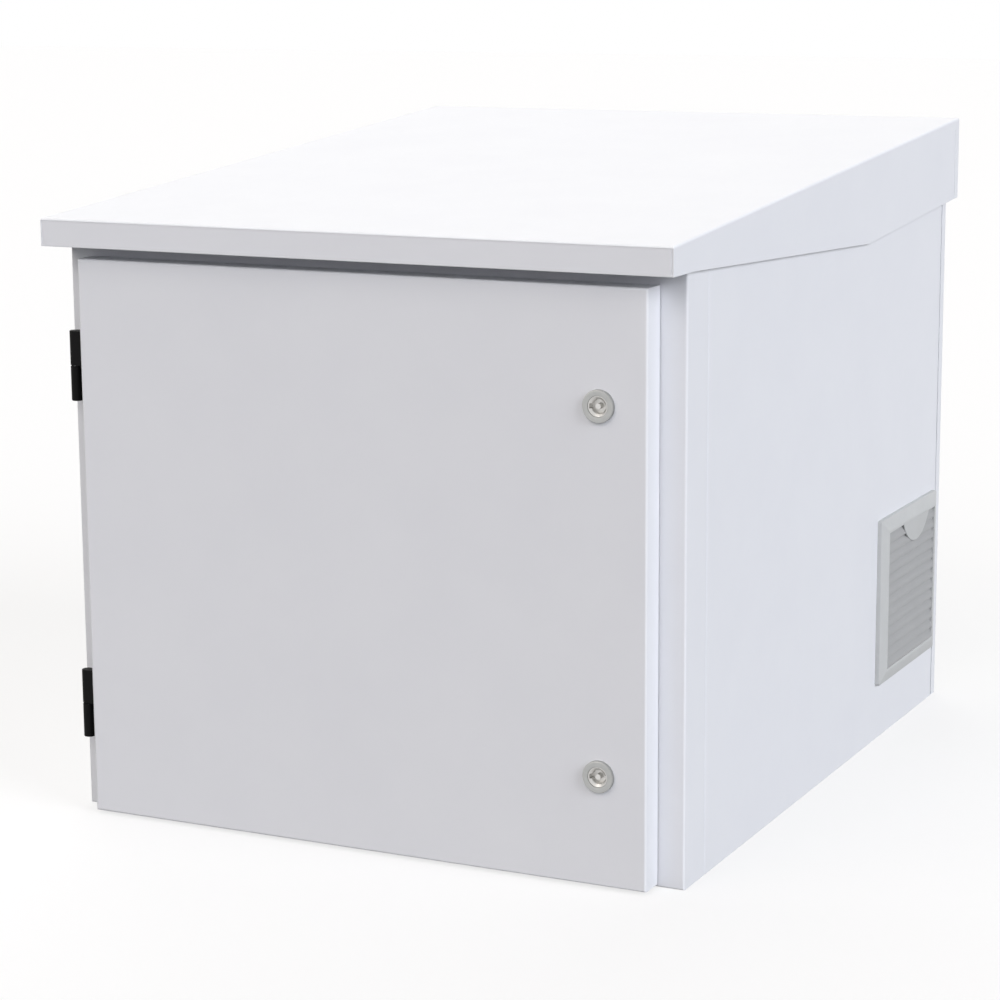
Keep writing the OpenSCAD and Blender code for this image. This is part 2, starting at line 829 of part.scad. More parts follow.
module lock_nuts() {
    color(zinc) at_face() for (z = lock_zs) translate([lock_x, door_face + sheet, z]) difference() {
        hex_y(lock_nut_flat, lock_nut);
        translate([0, -overrun, 0]) rod_y(lock_body_r + run_gap, lock_nut + 2 * overrun);
    }
}

module upper_lock_housing() {
    lock_housing(lock_zs[1]);
}

module lower_lock_housing() {
    lock_housing(lock_zs[0]);
}

module upper_lock_spindle() {
    lock_spindle(lock_zs[1]);
}

module lower_lock_spindle() {
    lock_spindle(lock_zs[0]);
}

module upper_lock_cam() {
    lock_cam(lock_zs[1]);
}

module lower_lock_cam() {
    lock_cam(lock_zs[0]);
}

module upper_cam_bolt() {
    cam_bolt(lock_zs[1]);
}

module lower_cam_bolt() {
    cam_bolt(lock_zs[0]);
}

// Filter unit on the right side: x = 0 on the panel's face, y and z about the filter's middle
module on_right_side() {
    translate([body_w / 2, filter_y, filter_z]) children();
}

// Bevelled block: upright edge, then a slope up to the flat face
module bevel_block(w, h, edge, t, bevel) {
    intersection() {
        translate([0, 0, -h / 2]) linear_extrude(h) polygon(bevel_profile(w, edge, t, bevel));
        translate([0, w / 2, 0]) rotate([90, 0, 0]) linear_extrude(w)
            polygon(bevel_profile(h, edge, t, bevel));
    }
}

// Cover with rain louvres in a rimmed window and a plain crest at the top, snapped over the filter frame
module louvre_cover() {
    inside = cover_t - cover_wall;
    edge = cover_t - blade_sink;
    hollow_w = cover_w - 2 * cover_wall;
    hollow_h = cover_h - 2 * cover_wall;
    difference() {
        union() {
            difference() {
                bevel_block(cover_w, cover_h, cover_edge, cover_t, cover_bevel);
                translate([-overrun, 0, 0])
                    bevel_block(hollow_w, hollow_h, cover_edge - cover_wall + overrun, inside + overrun,
                        cover_bevel);
            }
            translate([rim_in, -louvre_w / 2 - rim_t, -louvre_h / 2 - rim_t])
                cube([inside + cover_wall / 2 - rim_in, louvre_w + 2 * rim_t, louvre_h + 2 * rim_t]);
        }
        translate([-overrun, -louvre_w / 2, -louvre_h / 2])
            cube([cover_t + 2 * overrun, louvre_w, louvre_h]);
    }
    translate([0, louvre_w / 2 + blade_root, 0]) rotate([90, 0, 0]) linear_extrude(louvre_w + 2 * blade_root)
        for (i = [0 : louvres - 1]) translate([0, (i - louvres / 2) * louvre_pitch - blade_sink])
            polygon([[edge, 0], [edge - blade_lean, blade_face],
                [blade_in, louvre_pitch], [blade_in, louvre_pitch - blade_t],
                [edge - blade_lean - blade_t, blade_face - blade_t / 2], [edge - blade_t, 0]]);
    translate([inside + crest_sink, 0, 0]) rotate([90, 0, 90])
        linear_extrude(cover_wall - 2 * crest_sink) intersection() {
            translate([-louvre_w / 2, 0]) square([louvre_w, louvre_h / 2 + blade_root]);
            translate([crest_shift, louvre_h / 2 - crest_sag + crest_r]) circle(r = crest_r);
        }
}

// Cassette through the panel's cut-out, with an outside lip and a grid behind the mat
module filter_frame() {
    w = cutout_w - 2 * cassette_fit;
    lip = w + 2 * cassette_lip;
    pitch = w / grid_bars;
    rotate([90, 0, 90]) {
        linear_extrude(cassette_lip_t) difference() {
            square(lip, center = true);
            square(w - 2 * cassette_wall, center = true);
        }
        translate([0, 0, -cassette_d]) {
            linear_extrude(cassette_d) difference() {
                square(w, center = true);
                square(w - 2 * cassette_wall, center = true);
            }
            linear_extrude(cassette_wall) for (i = [1 : grid_bars - 1], turn = [0, 90])
                rotate(turn) translate([(i - grid_bars / 2) * pitch, 0])
                    square([cassette_wall, w - cassette_wall], center = true);
        }
    }
}

module filter_mat() {
    w = cutout_w - 2 * (cassette_fit + cassette_wall + mat_fit);
    translate([cassette_wall - cassette_d, -w / 2, -w / 2]) cube([mat_t, w, w]);
}

module right_louvre_cover() {
    color(plastic) at_face() on_right_side() louvre_cover();
}

module left_louvre_cover() {
    color(plastic) at_face() mirror([1, 0, 0]) on_right_side() louvre_cover();
}

module right_filter_frame() {
    color(plastic) at_face() on_right_side() filter_frame();
}

module left_filter_frame() {
    color(plastic) at_face() mirror([1, 0, 0]) on_right_side() filter_frame();
}

module right_filter_mat() {
    color(fleece) at_face() on_right_side() filter_mat();
}

module left_filter_mat() {
    color(fleece) at_face() mirror([1, 0, 0]) on_right_side() filter_mat();
}

front_frame();
left_side_panel();
right_side_panel();
rear_panel();
base_panel();
top_panel();
roof_hood();
front_roof_bearer();
rear_roof_bearer();
roof_bolts();
roof_nuts();
gland_plate();
gland_gasket();
gland_screws();
cable_grommets();
left_lower_bearer();
left_upper_bearer();
right_lower_bearer();
right_upper_bearer();
left_front_rail();
left_rear_rail();
right_front_rail();
right_rear_rail();
rail_bolts();
rail_nuts();
earth_stud();
earth_nuts();
upper_hinge_frame_leaf();
upper_hinge_pin();
lower_hinge_frame_leaf();
lower_hinge_pin();
hinge_frame_screws();
left_filter_frame();
left_filter_mat();
left_louvre_cover();
right_filter_frame();
right_filter_mat();
right_louvre_cover();
door_panel();
door_gasket();
upper_hinge_door_leaf();
lower_hinge_door_leaf();
hinge_door_screws();
upper_lock_housing();
lower_lock_housing();
lock_nuts();
upper_lock_spindle();
upper_lock_cam();
upper_cam_bolt();
lower_lock_spindle();
lower_lock_cam();
lower_cam_bolt();
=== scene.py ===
import json
from math import asin, cos, pi, radians, sin, tan

import bmesh
import bpy
from mathutils import Matrix, Vector, noise


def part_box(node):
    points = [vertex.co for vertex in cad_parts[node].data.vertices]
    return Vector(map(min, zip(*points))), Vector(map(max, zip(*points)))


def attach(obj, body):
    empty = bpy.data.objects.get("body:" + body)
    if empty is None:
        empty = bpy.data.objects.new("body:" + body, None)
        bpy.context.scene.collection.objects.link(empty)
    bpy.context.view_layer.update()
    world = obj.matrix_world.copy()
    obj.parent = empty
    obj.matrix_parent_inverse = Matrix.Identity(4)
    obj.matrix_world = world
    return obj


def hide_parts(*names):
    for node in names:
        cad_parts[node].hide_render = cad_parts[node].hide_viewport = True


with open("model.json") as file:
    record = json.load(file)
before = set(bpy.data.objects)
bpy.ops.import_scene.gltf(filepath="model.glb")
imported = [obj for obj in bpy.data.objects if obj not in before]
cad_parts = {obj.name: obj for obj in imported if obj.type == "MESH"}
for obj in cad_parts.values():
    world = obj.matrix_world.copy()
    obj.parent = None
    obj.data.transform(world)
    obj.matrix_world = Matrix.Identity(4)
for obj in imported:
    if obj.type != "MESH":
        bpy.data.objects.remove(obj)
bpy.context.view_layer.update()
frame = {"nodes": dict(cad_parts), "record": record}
nodes = frame["nodes"]
bodyOf = {node: body for body, members in frame["record"]["behaviour"]["bodies"].items()
          for node in members}
slotOf = {part["node"]: part["material_slot"] for part in frame["record"]["subparts"]}
scene = bpy.context.scene
mm = 0.001
print("frame loaded:", len(nodes), "nodes")


# small helpers for colours, nodes and materials

def linear(code):  # sRGB hex to linear colour
    parts = [int(code[i:i + 2], 16) / 255 for i in (1, 3, 5)]
    return [c / 12.92 if c <= 0.04045 else ((c + 0.055) / 1.055) ** 2.4 for c in parts] + [1.0]


def put(tree, kind, values=None, links=None, **settings):  # one node, its settings, values and links
    made = tree.nodes.new(kind)
    for key, value in settings.items():
        setattr(made, key, value)
    for key, value in (values or {}).items():
        made.inputs[key].default_value = value
    for key, socket in (links or {}).items():
        tree.links.new(socket, made.inputs[key])
    return made


def pattern(tree, place, kind, size):  # procedural pattern with features of that size in mm
    sizes = size if isinstance(size, tuple) else (size,) * 3
    mapped = put(tree, "ShaderNodeMapping", {"Scale": [1 / (s * mm) for s in sizes]}, {"Vector": place})
    if kind == "noise":
        return put(tree, "ShaderNodeTexNoise", {"Scale": 1.0, "Detail": 3.0, "Roughness": 0.55},
                   {"Vector": mapped.outputs[0]}).outputs["Fac"]
    cells = put(tree, "ShaderNodeTexVoronoi", {"Scale": 1.0}, {"Vector": mapped.outputs[0]})
    return cells.outputs["Color" if kind == "cells" else "Distance"]  # flat cells, or round pores


def surface(look):  # material from its dictionary: tints, roughness and bumps all come from patterns
    material = bpy.data.materials.new(look["name"])
    material.use_nodes = True
    tree = material.node_tree
    tree.nodes.clear()
    place = put(tree, "ShaderNodeTexCoord").outputs["Object"]
    tint = put(tree, "ShaderNodeMix", {6: linear(look["tints"][0]), 7: linear(look["tints"][1])},
               {0: pattern(tree, place, *look["tintBy"])}, data_type="RGBA")
    rough = put(tree, "ShaderNodeMapRange", {"To Min": look["rough"][0], "To Max": look["rough"][1]},
                {"Value": pattern(tree, place, *look["roughBy"])})
    shader = put(tree, "ShaderNodeBsdfPrincipled", {"Metallic": look.get("metallic", 0.0)},
                 {"Base Color": tint.outputs[2], "Roughness": rough.outputs[0]})
    for key, socket in (("ior", "IOR"), ("gloss", "Specular IOR Level"), ("sheen", "Sheen Weight")):
        if key in look:
            shader.inputs[socket].default_value = look[key]
    normal = None
    for kind, size, height in look["bumps"]:  # each bump lies on the one before
        links = {"Height": pattern(tree, place, kind, size)}
        if normal:
            links["Normal"] = normal
        normal = put(tree, "ShaderNodeBump", {"Strength": 1.0, "Distance": height * mm}, links).outputs[0]
    tree.links.new(normal, shader.inputs["Normal"])
    put(tree, "ShaderNodeOutputMaterial", {}, {"Surface": shader.outputs[0]})
    return material


# materials, named for what they are; pattern sizes and bump heights in mm

looks = {
    # baked powder paint: satin, with a faint orange peel and a hardly seen cloudiness
    "powder_coat": {"name": "powder-coated steel", "tints": ("#E1E3E8", "#E6E8EC"), "tintBy": ("noise", 70),
                    "rough": (0.40, 0.52), "roughBy": ("noise", 9), "ior": 1.5,
                    "bumps": [("noise", 2.6, 0.006)]},  # orange peel
    # bright zinc plating: bluish silver, cloudy, with fine rolling marks along the sheet
    "zinc_plate": {"name": "zinc-plated steel", "tints": ("#A9AFB6", "#C9CBC9"), "tintBy": ("cells", 5),
                   "rough": (0.24, 0.44), "roughBy": ("noise", 7), "metallic": 1.0,
                   "bumps": [("noise", (1.2, 1.2, 30), 0.01)]},
    # black powder on a zinc casting: dull, finely pitted
    "black_hinge": {"name": "black-coated zinc casting", "tints": ("#060606", "#0D0D0E"),
                    "tintBy": ("noise", 6), "rough": (0.5, 0.66), "roughBy": ("noise", 3),
                    "ior": 1.5, "gloss": 0.12,
                    "bumps": [("noise", 0.9, 0.03)]},  # pits drawn twice as coarse as real
    # tumbled zinc die casting: grey satin metal
    "lock_casting": {"name": "satin zinc die casting", "tints": ("#ACADAC", "#BBBCBB"),
                     "tintBy": ("noise", 4), "rough": (0.46, 0.6), "roughBy": ("noise", 2),
                     "metallic": 1.0, "bumps": [("noise", 0.8, 0.008)]},
    # the turning part of the lock: the same zinc casting painted brighter and warmer than its housing,
    # painted light that lifts the shade in its key recess
    "lock_spindle": {"name": "zinc casting with painted light", "tints": ("#D0CFCD", "#DEDDDA"), "tintBy": ("noise", 4),
                     "rough": (0.36, 0.5), "roughBy": ("noise", 2), "metallic": 1.0,
                     "bumps": [("noise", 0.8, 0.006)]},
    # injection-moulded ABS: even light grey with a fine spark-eroded grain
    "grey_plastic": {"name": "moulded grey ABS", "tints": ("#BBBDBD", "#C5C7C6"), "tintBy": ("noise", 30),
                     "rough": (0.42, 0.56), "roughBy": ("noise", 2), "ior": 1.53,
                     "bumps": [("noise", 0.7, 0.01)]},
    # the same ABS painted darker for the blades: painted shade that stands in for the shadows between them,
    # not a darker pigment
    "blade_painted_shade": {"name": "grey ABS with painted shade", "tints": ("#9FA0A1", "#A7A8A8"),
                      "tintBy": ("noise", 30), "rough": (0.46, 0.6), "roughBy": ("noise", 2), "ior": 1.53,
                      "bumps": [("noise", 0.7, 0.01)]},
    # bonded polyester fibres: off-white and matted, each fibre drawn far coarser than real
    "filter_fleece": {"name": "bonded polyester fleece", "tints": ("#D5D3CB", "#F1F0EB"),
                      "tintBy": ("noise", (5, 1.2, 5)), "rough": (0.85, 1.0), "roughBy": ("noise", 3),
                      "ior": 1.45, "sheen": 0.3,
                      "bumps": [("noise", (6, 0.8, 0.8), 0.25), ("noise", (0.8, 6, 0.9), 0.25)]},
    # foamed polyurethane bead: dark grey skin with burst pores
    "foam_seal": {"name": "foamed polyurethane", "tints": ("#2C2D2F", "#434447"), "tintBy": ("noise", 6),
                  "rough": (0.8, 0.95), "roughBy": ("noise", 2), "ior": 1.45, "gloss": 0.3,
                  "bumps": [("pores", 1.1, 0.12), ("noise", 14, 0.2)]},
    # moulded EPDM rubber: matt black with a grey bloom
    "black_rubber": {"name": "moulded EPDM rubber", "tints": ("#151516", "#232325"), "tintBy": ("noise", 9),
                     "rough": (0.62, 0.8), "roughBy": ("noise", 3), "ior": 1.52, "gloss": 0.35,
                     "bumps": [("noise", 1.0, 0.02)]},
}
finishes = {slot: surface(look) for slot, look in looks.items()}
print("materials:", len(finishes))


# carried-over sheet metal and castings: welded points, softened edges, smooth folds

softening = {"weldGap": 0.002, "flatWithin": 1, "edgeFrom": 40, "smoothUpTo": 32,  # mm, then degrees
             "edges": {"powder_coat": 0.35, "zinc_plate": 0.25, "black_hinge": 0.7, "lock_casting": 0.2,
                       "grey_plastic": 0.4, "filter_fleece": 0.5, "foam_seal": 0.6,
                       "black_rubber": 0.4}}  # mm


def formGroup(name, build):  # geometry-nodes group with one geometry in and out
    group = bpy.data.node_groups.new(name, "GeometryNodeTree")
    for way in ("INPUT", "OUTPUT"):
        group.interface.new_socket("Geometry", in_out=way, socket_type="NodeSocketGeometry")
    start = put(group, "NodeGroupInput")
    put(group, "NodeGroupOutput", {}, {0: build(group, start.outputs[0])})
    return group


def weldPoints(group, geometry):  # the import splits points at every edge
    merged = put(group, "GeometryNodeMergeByDistance", {"Distance": softening["weldGap"] * mm},
                 {"Geometry": geometry})
    return put(group, "GeometryNodeRemoveAttribute", {"Name": "custom_normal"},
               {"Geometry": merged.outputs[0]}).outputs[0]


def smoothFolds(group, geometry):  # smooth over the steps of a fold, sharp at edges
    smooth = put(group, "GeometryNodeSetShadeSmooth", {"Shade Smooth": True}, {0: geometry}, domain="FACE")
    angle = put(group, "GeometryNodeInputMeshEdgeAngle")
    sharp = put(group, "FunctionNodeCompare", {"B": radians(softening["smoothUpTo"])},
                {"A": angle.outputs[0]}, data_type="FLOAT", operation="GREATER_THAN")
    return put(group, "GeometryNodeSetShadeSmooth", {"Shade Smooth": False},
               {0: smooth.outputs[0], 1: sharp.outputs[0]}, domain="EDGE").outputs[0]


weldGroup = formGroup("weld points", weldPoints)
foldGroup = formGroup("smooth folds", smoothFolds)

for node, piece in nodes.items():
    slot = slotOf[node]
    for place in piece.material_slots:
        # lock spindles take the casting with painted light
        place.material = finishes["lock_spindle" if node.endswith("lock_spindle") else slot]
    piece.modifiers.new("weld", "NODES").node_group = weldGroup
    if node != "roof_hood":  # its narrow seam strips stay as they are
        plane = piece.modifiers.new("planes", "DECIMATE")
        plane.decimate_type, plane.angle_limit = "DISSOLVE", radians(softening["flatWithin"])
    bevel = piece.modifiers.new("soft edges", "BEVEL")
    bevel.width, bevel.segments = softening["edges"][slot] * mm, 2
    bevel.limit_method, bevel.angle_limit = "ANGLE", radians(softening["edgeFrom"])
    bevel.use_clamp_overlap = False
    piece.modifiers.new("smooth", "NODES").node_group = foldGroup
    piece.modifiers.new("even faces", "WEIGHTED_NORMAL").keep_sharp = True
print("carried-over nodes finished")


# mesh pieces, drawn in mm in the cabinet's own frame

def skin(rows, count, loop):  # quads over rows of points, with end faces unless the rows close up
    faces = []
    for j in range(rows if loop else rows - 1):
        a, b = j * count, (j + 1) % rows * count
        faces += [(a + k, a + (k + 1) % count, b + (k + 1) % count, b + k) for k in range(count)]
    if not loop:
        faces += [tuple(range(count - 1, -1, -1)), tuple(range((rows - 1) * count, rows * count))]
    return faces


def turned(rings, count=48, loop=False):  # form about z; a ring's radius or height may follow the angle
    points = []
    for radius, height in rings:
        for k in range(count):
            g = 2 * pi * k / count
            r, h = (v(g) if callable(v) else v for v in (radius, height))
            points.append(Vector((r * cos(g), r * sin(g), h)))
    return points, skin(len(rings), count, loop)


def placed(form, at, along=(0, 0, 1), corner=(1, 0, 0)):  # form moved to a point, its z and x set
    z, x = Vector(along), Vector(corner)
    turn = Matrix((x, z.cross(x), z)).transposed()
    return [turn @ p + Vector(at) for p in form[0]], form[1]


def newPiece(name, forms, node, sharp=35, dark=()):  # one mesh that stands for a CAD node on its body
    points, faces, tones = [], [], []  # edges beyond sharp degrees stay sharp, dark forms get the ABS with painted shade
    for index, (somePoints, someFaces) in enumerate(forms):
        faces += [tuple(len(points) + i for i in face) for face in someFaces]
        points += [p * mm for p in somePoints]
        tones += [int(index in dark)] * len(someFaces)
    mesh = bpy.data.meshes.new(name)
    mesh.from_pydata(points, [], faces)
    mesh.polygons.foreach_set("material_index", tones)
    work = bmesh.new()
    work.from_mesh(mesh)
    bmesh.ops.recalc_face_normals(work, faces=work.faces)
    work.to_mesh(mesh)
    work.free()
    mesh.shade_smooth()
    mesh.set_sharp_from_angle(angle=radians(sharp))
    mesh.materials.append(finishes[slotOf[node]])
    if dark:
        # forms listed as dark take the ABS with painted shade
        mesh.materials.append(finishes["blade_painted_shade"])
    piece = bpy.data.objects.new(name, mesh)
    scene.collection.objects.link(piece)
    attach(piece, bodyOf[node])
    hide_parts(node)
    return piece


def boxOf(node):  # low corner, high corner and centre of a node's box in mm
    low, high = (Vector(v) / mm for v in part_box(node))
    return low, high, (low + high) / 2


# bolts, nuts and screws: real threads, chamfered hexagons and six-lobed recesses

up = (0, 0, 1)
screwThread = {"depth": 0.54, "ringsPerTurn": 4, "start": 0.3}  # depth as a share of the pitch
hexagon = {"land": 0.47, "chamfer": 30, "countersink": 0.7}  # land as a share of the width over flats
bolt = {"flat": 10, "head": 4, "radius": 3, "pitch": 1.0, "crown": 0.12, "crownEdge": 0.4, "foot": 0.15,
        "point": 0.8, "tip": 0.72}  # M6
screw = {"radius": 2.5, "pitch": 0.8, "headRadius": 4.5, "head": 3, "lobes": 6, "wave": 0.16,
         "recess": ((0.30, 1.65), (0.34, 1.5), (0.36, 0.25), (0.40, 0.05)),  # share of the head, depth
         "dome": 0.75, "domeAngles": (36, 46, 56, 66, 76, 84, 90), "brim": 0.1, "brimEdge": 0.2,
         "point": 0.6, "tip": 0.7}  # M5


def thread(radius, pitch, low, high):  # rings of a screw thread from low to high
    depth = screwThread["depth"] * pitch
    count = round((high - low) / pitch * screwThread["ringsPerTurn"])

    def flank(height):
        return lambda g: radius - depth * abs(2 * ((height / pitch - g / (2 * pi)) % 1) - 1)

    heights = [low + (high - low) * i / count for i in range(count + 1)]
    return [(flank(h), h) for h in heights]


def hexRadius(flat):  # hexagon with its corners along x
    return lambda g: flat / 2 / cos(g % (pi / 3) - pi / 6)


def hexNut(flat, tall, hole):  # nut on z = 0, chamfered on both ends
    side, land = hexRadius(flat), flat * hexagon["land"]
    drop, sink = tan(radians(hexagon["chamfer"])), hexagon["countersink"]
    return turned([(land, 0), (side, lambda g: (side(g) - land) * drop),
                   (side, lambda g: tall - (side(g) - land) * drop), (land, tall),
                   (hole + sink, tall), (hole, tall - sink), (hole, sink), (hole + sink, 0)], loop=True)


def hexBolt(length):  # bolt along z, head below z = 0
    side, land, radius = hexRadius(bolt["flat"]), bolt["flat"] * hexagon["land"], bolt["radius"]
    drop, top = tan(radians(hexagon["chamfer"])), bolt["crown"] - bolt["head"]
    rings = [(land - bolt["crownEdge"], -bolt["head"]), (land, top),
             (side, lambda g: (side(g) - land) * drop + top), (side, -bolt["foot"]), (side, 0), (radius, 0)]
    rings += thread(radius, bolt["pitch"], screwThread["start"], length - bolt["point"])
    return turned(rings + [(radius * bolt["tip"], length)])


def panScrew(length):  # screw along z, domed head with a six-lobed recess below z = 0
    radius, wide, head = screw["radius"], screw["headRadius"], screw["head"]

    def lobe(share):
        return lambda g: wide * share * (1 + screw["wave"] * cos(screw["lobes"] * g))

    rings = [(lobe(share), depth - head) for share, depth in screw["recess"]]
    rings += [(wide * sin(radians(a)), head * screw["dome"] * (1 - cos(radians(a))) - head)
              for a in screw["domeAngles"]]
    rings += [(wide, -screw["brim"]), (wide - screw["brimEdge"], 0), (radius, 0)]
    rings += thread(radius, screw["pitch"], screwThread["start"], length - screw["point"])
    return turned(rings + [(radius * screw["tip"], length)])


smallNut = hexNut(bolt["flat"], bolt["head"], bolt["radius"])

rackBolts = {"x": 248, "ys": (-250, 107), "zs": (75.75, 442.25), "length": 8.5, "grip": 3.5}
spots = [(s, y, z) for s in (-1, 1) for y in rackBolts["ys"] for z in rackBolts["zs"]]
rackBolt, nutX = hexBolt(rackBolts["length"]), rackBolts["x"] + rackBolts["grip"]
newPiece("rackRailBolts", [placed(rackBolt, (s * rackBolts["x"], y, z), (s, 0, 0), up)
                           for s, y, z in spots], "rail_bolts")
newPiece("rackRailNuts", [placed(smallNut, (s * nutX, y, z), (s, 0, 0), up)
                          for s, y, z in spots], "rail_nuts")

hoodBolts = {"xs": (-240, 240), "ys": (-270, 287), "length": 8, "headSeat": 538.5, "nutSeat": 541.5}
spots = [(x, y) for x in hoodBolts["xs"] for y in hoodBolts["ys"]]
hoodBolt = hexBolt(hoodBolts["length"])
newPiece("hoodBolts", [placed(hoodBolt, (x, y, hoodBolts["headSeat"])) for x, y in spots], "roof_bolts")
newPiece("hoodNuts", [placed(smallNut, (x, y, hoodBolts["nutSeat"])) for x, y in spots], "roof_nuts")

camBolts = {"length": 12}
camBolt = hexBolt(camBolts["length"])
for name in ("upper", "lower"):
    low, high, centre = boxOf(name + "_cam_bolt")
    seat = (centre.x, high.y - bolt["head"], centre.z)
    newPiece(name + "CamBolt", [placed(camBolt, seat, (0, -1, 0), up)], name + "_cam_bolt")

lockNuts = {"flat": 26, "tall": 6, "hole": 10.85}
lockNut, seatY = hexNut(lockNuts["flat"], lockNuts["tall"], lockNuts["hole"]), boxOf("lock_nuts")[0].y
housings = [boxOf(name + "_lock_housing")[2] for name in ("lower", "upper")]
newPiece("lockNuts", [placed(lockNut, (centre.x, seatY, centre.z), (0, 1, 0), up) for centre in housings],
         "lock_nuts")

earth = {"radius": 4, "pitch": 1.25, "root": 0.8, "start": 0.6, "point": 0.9, "tip": 0.74,
         "nutFlat": 13, "nutTall": 6.5, "nutSeats": (1.5, 11.25)}  # M8
low, high, centre = boxOf("earth_stud")
studRings = [(earth["radius"] * earth["root"], 0)]
studRings += thread(earth["radius"], earth["pitch"], earth["start"], high.z - earth["point"])
studRings += [(earth["radius"] * earth["tip"], high.z)]
newPiece("earthStud", [placed(turned(studRings), (centre.x, centre.y, 0))], "earth_stud")
earthNut = hexNut(earth["nutFlat"], earth["nutTall"], earth["radius"])
newPiece("earthNuts", [placed(earthNut, (centre.x, centre.y, z)) for z in earth["nutSeats"]], "earth_nuts")

glandScrews = {"xs": (-157.5, 0, 157.5), "reach": 42.5}  # reach from the middle line to each row
low, high, centre = boxOf("gland_screws")
seat, reach = high.z - screw["head"], glandScrews["reach"]
newPiece("glandScrews", [placed(panScrew(seat), (x, y, seat), (0, 0, -1)) for x in glandScrews["xs"]
                         for y in (centre.y - reach, centre.y + reach)], "gland_screws")

hingeScrews = {"frameLength": 9.5, "frameZs": (78.46, 92.54, 393.46, 407.54),
               "doorZs": (110.46, 124.54, 425.46, 439.54)}
low, high, centre = boxOf("hinge_frame_screws")
frameScrew, seat = panScrew(hingeScrews["frameLength"]), high.y - screw["head"]
newPiece("hingeFrameScrews", [placed(frameScrew, (centre.x, seat, z), (0, -1, 0))
                              for z in hingeScrews["frameZs"]], "hinge_frame_screws")
low, high, centre = boxOf("hinge_door_screws")
seat = high.x - screw["head"]
doorScrew = panScrew(seat - low.x)
newPiece("hingeDoorScrews", [placed(doorScrew, (seat, centre.y, z), (-1, 0, 0), up)
                             for z in hingeScrews["doorZs"]], "hinge_door_screws")
print("bolts, nuts and screws made")


# cam locks: a flat head with a rounded edge, and a threaded barrel through the door

lock = {"bore": 8.85, "mouth": ((0, 0.9), (0.2, 0.2), (0.7, 0)),  # wider than the bore, below the face
        "radius": 14, "head": 4, "edge": 1.2, "foot": 0.35, "footEdge": 0.3,
        "barrel": 10.8, "barrelLength": 24.2, "pitch": 1.5, "threadStart": 1.6, "threadEnd": 1,
        "barrelEdge": 0.9, "boreWider": 0.3, "boreEdge": 0.4, "steps": 72}
face, end, edge = -lock["head"], lock["barrelLength"], lock["edge"]
lockRings = [(lock["bore"] + wider, face + below) for wider, below in lock["mouth"]]
lockRings += [(lock["radius"] - edge * (1 - sin(g)), face + edge * (1 - cos(g)))
              for g in (radians(a) for a in range(0, 91, 15))]
lockRings += [(lock["radius"], -lock["foot"]), (lock["radius"] - lock["footEdge"], 0), (lock["barrel"], 0)]
lockRings += thread(lock["barrel"], lock["pitch"], lock["threadStart"], end - lock["threadEnd"])
lockRings += [(lock["barrel"] - lock["barrelEdge"], end), (lock["bore"] + lock["boreWider"], end),
              (lock["bore"], end - lock["boreEdge"])]
for name in ("upper", "lower"):
    low, high, centre = boxOf(name + "_lock_housing")
    newPiece(name + "LockHousing", [placed(turned(lockRings, lock["steps"], True),
                                           (centre.x, low.y + lock["head"], centre.z), (0, 1, 0))],
             name + "_lock_housing", sharp=30)
print("locks made")


# foamed gasket: a soft bead laid round the back of the door, with a slightly uneven skin

corners = ((1, -1, -90), (1, 1, 0), (-1, 1, 90), (-1, -1, 180))  # side in x, side in y, first angle


def roundedLoop(halfWide, halfTall, radius, step):  # points round a rectangle, with outward directions
    loop = []
    for cx, cy, start in corners:
        px, py = cx * (halfWide - radius), cy * (halfTall - radius)
        bend = [radians(start + 90 * i / 8) for i in range(9)]
        loop += [(px + radius * cos(g), py + radius * sin(g), cos(g), sin(g)) for g in bend]
        gx, gy = -sin(bend[-1]), cos(bend[-1])
        run = 2 * (halfTall if abs(gy) > 0.5 else halfWide) - 2 * radius
        count = round(run / step)
        ex, ey, nx, ny = loop[-1]
        loop += [(ex + gx * run * i / count, ey + gy * run * i / count, nx, ny) for i in range(1, count)]
    return loop


bead = {"wide": 12, "tall": 10.4, "cornerRadius": 15, "step": 6, "shoulder": 0.25, "fullness": 0.7,
        "unevenness": 0.35, "longLumps": 37, "shortLumps": 9, "shortShare": 0.4,
        "sideRoom": 0.6, "topRoom": 0.35, "highestLump": 0.3}  # room that the lumps take up
low, high, centre = boxOf("door_gasket")
section = [(-0.5, 0)]  # across as a share of the width, up as a share of the height
section += [(-0.5 * cos(radians(a)) ** bead["fullness"],
             bead["shoulder"] + (1 - bead["shoulder"]) * sin(radians(a))) for a in range(0, 90, 15)]
section = section + [(0, 1)] + [(-x, h) for x, h in reversed(section)]
points = []
for px, pz, nx, nz in roundedLoop((high.x - low.x - bead["wide"]) / 2, (high.z - low.z - bead["wide"]) / 2,
                                  bead["cornerRadius"], bead["step"]):
    spot = Vector((centre.x + px, 0, centre.z + pz))
    lump = noise.noise(spot / bead["longLumps"])
    lump += noise.noise(spot / bead["shortLumps"]) * bead["shortShare"]
    lump *= bead["unevenness"]
    for across, rise in section:
        reach = across * (bead["wide"] - bead["sideRoom"] + lump)
        depth = rise * (bead["tall"] - bead["topRoom"] + min(lump, bead["highestLump"]) * rise)
        points.append(spot + Vector((nx * reach, low.y + depth, nz * reach)))
gasket = newPiece("doorGasket", [(points, skin(len(points) // len(section), len(section), True))],
                  "door_gasket", sharp=60)
print("door gasket laid")


# filter mats: cut pads of fleece, crowned between the bars and rough on the surface

